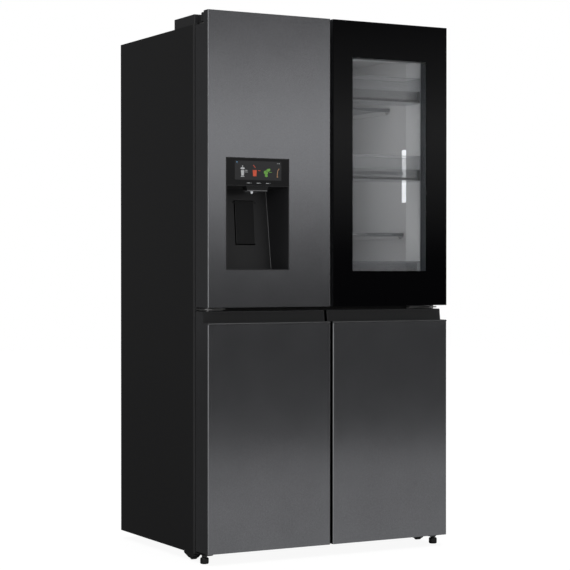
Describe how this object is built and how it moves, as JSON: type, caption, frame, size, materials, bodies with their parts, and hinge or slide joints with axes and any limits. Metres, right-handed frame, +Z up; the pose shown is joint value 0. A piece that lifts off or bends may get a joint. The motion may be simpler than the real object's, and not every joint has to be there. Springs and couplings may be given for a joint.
{
  "type": "side by side refrigerator",
  "caption": "Tall refrigerator with hinged upper and lower doors side by side, a water and ice dispenser recess in the upper left door and a window in the upper right one.",
  "frame": {"origin": "on the floor, under the middle of the overall box", "axes": "+Z up, +X to the right of somebody who faces the doors, +Y from the doors towards the wall behind"},
  "size_m": [0.912, 0.706, 1.774],
  "materials": {
    "door_steel": "dark graphite steel with a fine satin grain",
    "door_trim": "dark satin",
    "cabinet_steel": "near-black satin paint",
    "galvanised": "dull grey sheet",
    "foam": "rigid foam",
    "liner": "pale grey, soft gloss",
    "door_inner": "pale grey, soft gloss",
    "seal": "dark grey, matt",
    "grip": "dark grey, satin",
    "hinge_steel": "zinc-plated",
    "black_plastic": "black, matt",
    "foot_plastic": "black, matt",
    "compressor_steel": "black gloss paint",
    "coil": "bare",
    "duct_plastic": "grey, matt",
    "lamp": "frosted",
    "shelf_glass": "clear",
    "shelf_trim": "grey",
    "clear_plastic": "clear",
    "ice_plastic": "pale grey",
    "dispenser_plastic": "dark grey, satin",
    "outlet_plastic": "dark grey",
    "paddle_plastic": "dark grey",
    "display_glass": "black gloss",
    "black_glass": "black printed glass",
    "window_glass": "tinted"
  },
  "bodies": {
    "cabinet": {"back_panel": "galvanised", "base_panel": "galvanised", "bottom_hinges": "hinge_steel", "compressor": "compressor_steel", "condenser": "coil", "duct_covers": "duct_plastic", "evaporator": "coil", "foam_core": "foam", "front_rails": "cabinet_steel", "glass_shelves": "shelf_glass", "hinge_covers": "black_plastic", "ice_maker": "ice_plastic", "led_bars": "lamp", "lower_liners": "liner", "middle_hinges": "hinge_steel", "rear_cover": "black_plastic", "roller_brackets": "galvanised", "shelf_trims": "shelf_trim", "side_panel_left": "cabinet_steel", "side_panel_right": "cabinet_steel", "top_hinges": "hinge_steel", "top_panel": "cabinet_steel", "upper_liners": "liner"},
    "upper_left_door": {"upper_left_door_panel": "door_steel", "upper_left_door_body": "door_inner", "upper_left_door_seal": "seal", "upper_left_door_pull": "grip", "upper_left_door_bins": "clear_plastic", "dispenser_housing": "dispenser_plastic", "display_panel": "display_glass", "dispenser_outlets": "outlet_plastic", "drip_tray": "dispenser_plastic"},
    "upper_right_door": {"window_border": "black_glass", "window_panes": "window_glass", "upper_right_door_sides": "door_trim", "upper_right_door_body": "door_inner", "upper_right_door_seal": "seal", "upper_right_door_pull": "grip", "upper_right_door_bins": "clear_plastic"},
    "lower_left_door": {"lower_left_door_panel": "door_steel", "lower_left_door_body": "door_inner", "lower_left_door_seal": "seal", "lower_left_door_grip": "grip"},
    "lower_right_door": {"lower_right_door_panel": "door_steel", "lower_right_door_body": "door_inner", "lower_right_door_seal": "seal", "lower_right_door_grip": "grip"},
    "paddle": {"dispenser_paddle": "paddle_plastic"},
    "freezer_drawer_upper": {"freezer_drawer_upper": "clear_plastic"},
    "freezer_drawer_lower": {"freezer_drawer_lower": "clear_plastic"},
    "crisper_drawer_upper": {"crisper_drawer_upper": "clear_plastic"},
    "crisper_drawer_lower": {"crisper_drawer_lower": "clear_plastic"},
    "foot_left": {"foot_left": "foot_plastic"},
    "foot_right": {"foot_right": "foot_plastic"},
    "front_roller_left": {"front_roller_left": "foot_plastic"},
    "front_roller_right": {"front_roller_right": "foot_plastic"},
    "rear_roller_left": {"rear_roller_left": "foot_plastic"},
    "rear_roller_right": {"rear_roller_right": "foot_plastic"},
    "condenser_fan": {"condenser_fan": "black_plastic"},
    "evaporator_fan": {"evaporator_fan": "black_plastic"}
  },
  "joints": [
    {"name": "upper_left_door_hinge", "type": "hinge", "parent": "cabinet", "child": "upper_left_door", "pos_m": [-0.43, -0.298, 0.825], "axis": [0, 0, -1], "range_deg": [0, 110]},
    {"name": "lower_left_door_hinge", "type": "hinge", "parent": "cabinet", "child": "lower_left_door", "pos_m": [-0.43, -0.298, 0.037], "axis": [0, 0, -1], "range_deg": [0, 110]},
    {"name": "upper_right_door_hinge", "type": "hinge", "parent": "cabinet", "child": "upper_right_door", "pos_m": [0.43, -0.298, 0.825], "axis": [0, 0, 1], "range_deg": [0, 110]},
    {"name": "lower_right_door_hinge", "type": "hinge", "parent": "cabinet", "child": "lower_right_door", "pos_m": [0.43, -0.298, 0.037], "axis": [0, 0, 1], "range_deg": [0, 110]},
    {"name": "paddle_pivot", "type": "hinge", "parent": "upper_left_door", "child": "paddle", "pos_m": [-0.27775, -0.25646, 1.166], "axis": [1, 0, 0], "range_deg": [0, 12], "stiffness_Nm_per_rad": 0.3},
    {"name": "freezer_drawer_upper_slide", "type": "slide", "parent": "cabinet", "child": "freezer_drawer_upper", "axis": [0, -1, 0], "range_m": [0, 0.02]},
    {"name": "freezer_drawer_lower_slide", "type": "slide", "parent": "cabinet", "child": "freezer_drawer_lower", "axis": [0, -1, 0], "range_m": [0, 0.02]},
    {"name": "crisper_drawer_upper_slide", "type": "slide", "parent": "cabinet", "child": "crisper_drawer_upper", "axis": [0, -1, 0], "range_m": [0, 0.02]},
    {"name": "crisper_drawer_lower_slide", "type": "slide", "parent": "cabinet", "child": "crisper_drawer_lower", "axis": [0, -1, 0], "range_m": [0, 0.02]},
    {"name": "foot_left_screw", "type": "hinge", "parent": "cabinet", "child": "foot_left", "pos_m": [-0.4395, -0.293, 0.024], "axis": [0, 0, 1], "continuous": true},
    {"name": "foot_right_screw", "type": "hinge", "parent": "cabinet", "child": "foot_right", "pos_m": [0.4395, -0.293, 0.024], "axis": [0, 0, 1], "continuous": true},
    {"name": "front_roller_left_axle", "type": "hinge", "parent": "cabinet", "child": "front_roller_left", "pos_m": [-0.435, -0.204, 0.0137], "axis": [1, 0, 0], "continuous": true},
    {"name": "front_roller_right_axle", "type": "hinge", "parent": "cabinet", "child": "front_roller_right", "pos_m": [0.435, -0.204, 0.0137], "axis": [1, 0, 0], "continuous": true},
    {"name": "rear_roller_left_axle", "type": "hinge", "parent": "cabinet", "child": "rear_roller_left", "pos_m": [-0.372, 0.299, 0.0125], "axis": [1, 0, 0], "continuous": true},
    {"name": "rear_roller_right_axle", "type": "hinge", "parent": "cabinet", "child": "rear_roller_right", "pos_m": [0.372, 0.299, 0.0125], "axis": [1, 0, 0], "continuous": true},
    {"name": "condenser_fan_shaft", "type": "hinge", "parent": "cabinet", "child": "condenser_fan", "pos_m": [-0.215, 0.247, 0.104], "axis": [1, 0, 0], "continuous": true},
    {"name": "evaporator_fan_shaft", "type": "hinge", "parent": "cabinet", "child": "evaporator_fan", "pos_m": [-0.214, 0.255, 0.654], "axis": [0, 1, 0], "continuous": true}
  ]
}
